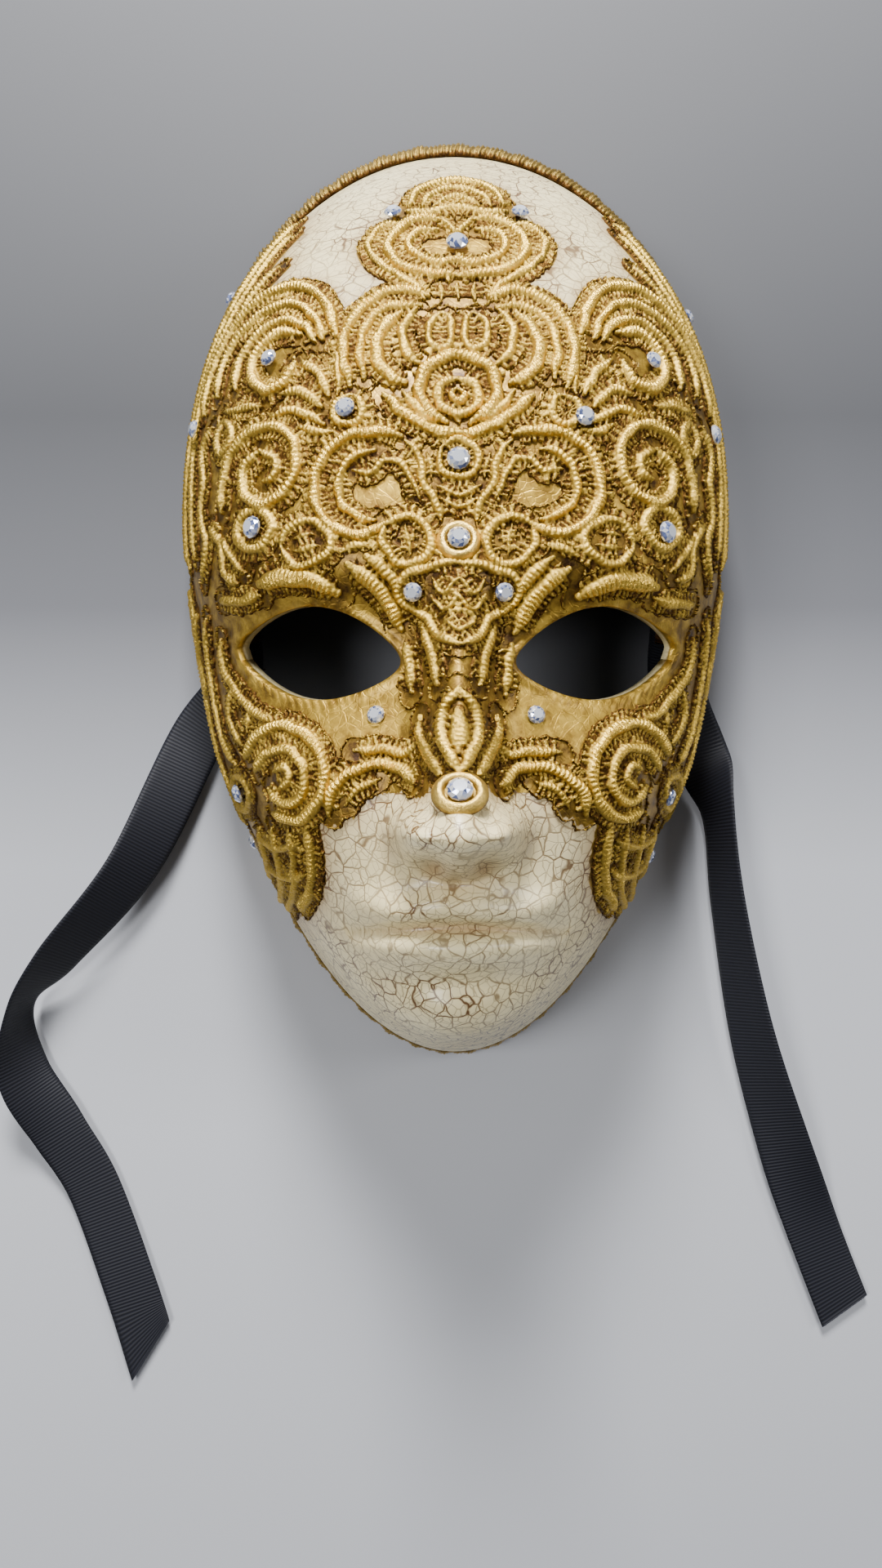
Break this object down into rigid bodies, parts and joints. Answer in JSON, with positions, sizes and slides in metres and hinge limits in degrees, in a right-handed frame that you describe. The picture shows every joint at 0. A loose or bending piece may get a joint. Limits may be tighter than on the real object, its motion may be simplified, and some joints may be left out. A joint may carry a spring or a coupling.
{
  "type": "masquerade mask",
  "caption": "Full-face masquerade mask with a crackled ivory shell, gilded lace appliques, clear round stones, a braided rim and black tie ribbons.",
  "frame": {"origin": "centre of the mask's footprint, on the plane its rim rests on", "axes": "+Z out of the face, +Y towards the crown, +X to the right when seen from the front; the mask lies face up on its rim"},
  "size_m": [0.2568, 0.3636, 0.1094],
  "materials": {
    "shell": "satin varnish over crackled ivory paint, gilded above",
    "lace_gold": "gilded corded lace with dark wash in the hollows",
    "braid_gold": "dark gold woven braid",
    "bezel_gold": "gold paint",
    "clear_stone": "clear faceted, foiled at the back",
    "ribbon_black": "grosgrain, fine cross ribs",
    "felt_black": "matt felt"
  },
  "bodies": {
    "root": {"face_shell": "shell", "rim_braid": "braid_gold", "ribbon_left": "ribbon_black", "ribbon_right": "ribbon_black", "ribbon_patch_left": "felt_black", "ribbon_patch_right": "felt_black", "brow_bezel": "bezel_gold", "nose_bezel": "bezel_gold", "lace_crest": "lace_gold", "lace_palmette": "lace_gold", "lace_body": "lace_gold", "lace_heart": "lace_gold", "lace_nose": "lace_gold", "lace_arch_left": "lace_gold", "lace_arch_right": "lace_gold", "lace_scroll_left": "lace_gold", "lace_scroll_right": "lace_gold", "lace_spray_left": "lace_gold", "lace_spray_right": "lace_gold", "lace_temple_left": "lace_gold", "lace_temple_right": "lace_gold", "lace_curl_left": "lace_gold", "lace_curl_right": "lace_gold", "lace_c_scroll_left": "lace_gold", "lace_c_scroll_right": "lace_gold", "lace_brow_left": "lace_gold", "lace_brow_right": "lace_gold", "lace_wing_left": "lace_gold", "lace_wing_right": "lace_gold", "lace_volute_left": "lace_gold", "lace_volute_right": "lace_gold", "lace_jaw_fan_left": "lace_gold", "lace_jaw_fan_right": "lace_gold", "lace_side_left": "lace_gold", "lace_side_right": "lace_gold", "stone_crest_left": "clear_stone", "stone_crest_right": "clear_stone", "stone_crest_middle": "clear_stone", "stone_temple_left": "clear_stone", "stone_temple_right": "clear_stone", "stone_scroll_left": "clear_stone", "stone_scroll_right": "clear_stone", "stone_arch_left": "clear_stone", "stone_arch_right": "clear_stone", "stone_forehead": "clear_stone", "stone_side_left": "clear_stone", "stone_side_right": "clear_stone", "stone_brow": "clear_stone", "stone_curl_left": "clear_stone", "stone_curl_right": "clear_stone", "stone_heart_left": "clear_stone", "stone_heart_right": "clear_stone", "stone_eye_left": "clear_stone", "stone_eye_right": "clear_stone", "stone_nose": "clear_stone", "stone_cheek_left": "clear_stone", "stone_cheek_right": "clear_stone", "stone_jaw_left": "clear_stone", "stone_jaw_right": "clear_stone"}
  },
  "joints": []
}
